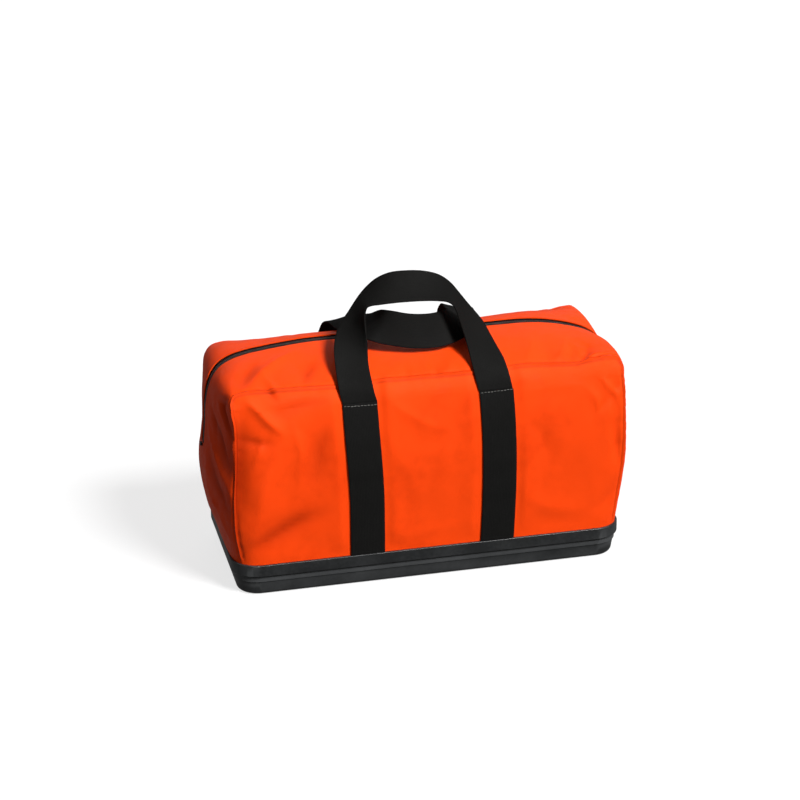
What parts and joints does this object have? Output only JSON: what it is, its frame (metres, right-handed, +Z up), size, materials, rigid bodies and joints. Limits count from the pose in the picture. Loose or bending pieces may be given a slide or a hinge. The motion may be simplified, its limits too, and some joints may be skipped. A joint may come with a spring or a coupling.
{
  "type": "duffel bag",
  "caption": "Rectangular nylon duffel bag with a moulded hard base tray, a zipped top that opens along its length, and a pair of webbing carry handles.",
  "frame": {"origin": "centre of the base tray's underside", "axes": "+X along the bag to its right end, +Y to its back, +Z up"},
  "size_m": [0.6518, 0.27, 0.4578],
  "materials": {
    "orange_nylon": "coated woven nylon, soft sheen",
    "base_plastic": "moulded, satin",
    "floor_board": "textured board",
    "webbing": "ribbed woven webbing",
    "zip_tape": "woven tape",
    "zip_teeth": "moulded",
    "zip_metal": "black enamel",
    "thread": "sewn thread"
  },
  "bodies": {
    "base": {"base_tray": "base_plastic", "rim_band": "base_plastic", "floor_panel": "floor_board", "front_panel": "orange_nylon", "back_panel": "orange_nylon", "left_end_panel": "orange_nylon", "right_end_panel": "orange_nylon", "left_end_zip_tape": "zip_tape", "right_end_zip_tape": "zip_tape", "left_end_zip_teeth": "zip_teeth", "right_end_zip_teeth": "zip_teeth", "left_zip_stop": "zip_teeth", "right_zip_stop": "zip_teeth", "front_left_strap": "webbing", "front_right_strap": "webbing", "back_left_strap": "webbing", "back_right_strap": "webbing", "front_strap_stitching": "thread", "back_strap_stitching": "thread"},
    "front_flap": {"front_top_strip": "orange_nylon", "front_top_panel": "orange_nylon", "front_zip_tape": "zip_tape", "front_zip_teeth": "zip_teeth"},
    "back_flap": {"back_top_strip": "orange_nylon", "back_top_panel": "orange_nylon", "back_zip_tape": "zip_tape", "back_zip_teeth": "zip_teeth"},
    "front_handle": {"front_handle": "webbing"},
    "back_handle": {"back_handle": "webbing"},
    "right_slider": {"right_zip_slider": "zip_metal"},
    "left_slider": {"left_zip_slider": "zip_metal"},
    "right_pull": {"right_zip_pull": "zip_metal"},
    "left_pull": {"left_zip_pull": "zip_metal"}
  },
  "joints": [
    {"name": "back_flap_open", "type": "hinge", "parent": "base", "child": "back_flap", "pos_m": [0, 0.1257, 0.2883], "axis": [-1, 0, 0], "range_deg": [0, 100]},
    {"name": "front_flap_open", "type": "hinge", "parent": "base", "child": "front_flap", "pos_m": [0, -0.1257, 0.2883], "axis": [1, 0, 0], "range_deg": [0, 100]},
    {"name": "front_handle_swing", "type": "hinge", "parent": "front_flap", "child": "front_handle", "pos_m": [0, -0.1257, 0.2883], "axis": [-1, 0, 0], "range_deg": [-200, 0]},
    {"name": "back_handle_swing", "type": "hinge", "parent": "back_flap", "child": "back_handle", "pos_m": [0, 0.1257, 0.2883], "axis": [1, 0, 0], "range_deg": [-175, 0]},
    {"name": "right_slider_slide", "type": "slide", "parent": "front_flap", "child": "right_slider", "axis": [1, 0, 0], "range_m": [0, 0.185]},
    {"name": "left_slider_slide", "type": "slide", "parent": "front_flap", "child": "left_slider", "axis": [-1, 0, 0], "range_m": [0, 0.185]},
    {"name": "right_pull_flip", "type": "hinge", "parent": "right_slider", "child": "right_pull", "pos_m": [0.015, 0, 0.3506], "axis": [0, -1, 0], "range_deg": [0, 160]},
    {"name": "left_pull_flip", "type": "hinge", "parent": "left_slider", "child": "left_pull", "pos_m": [-0.015, 0, 0.3506], "axis": [0, 1, 0], "range_deg": [0, 160]}
  ],
  "couplings": [
    {"joint": "front_flap_open", "follows": "back_flap_open", "ratio": 1}
  ]
}
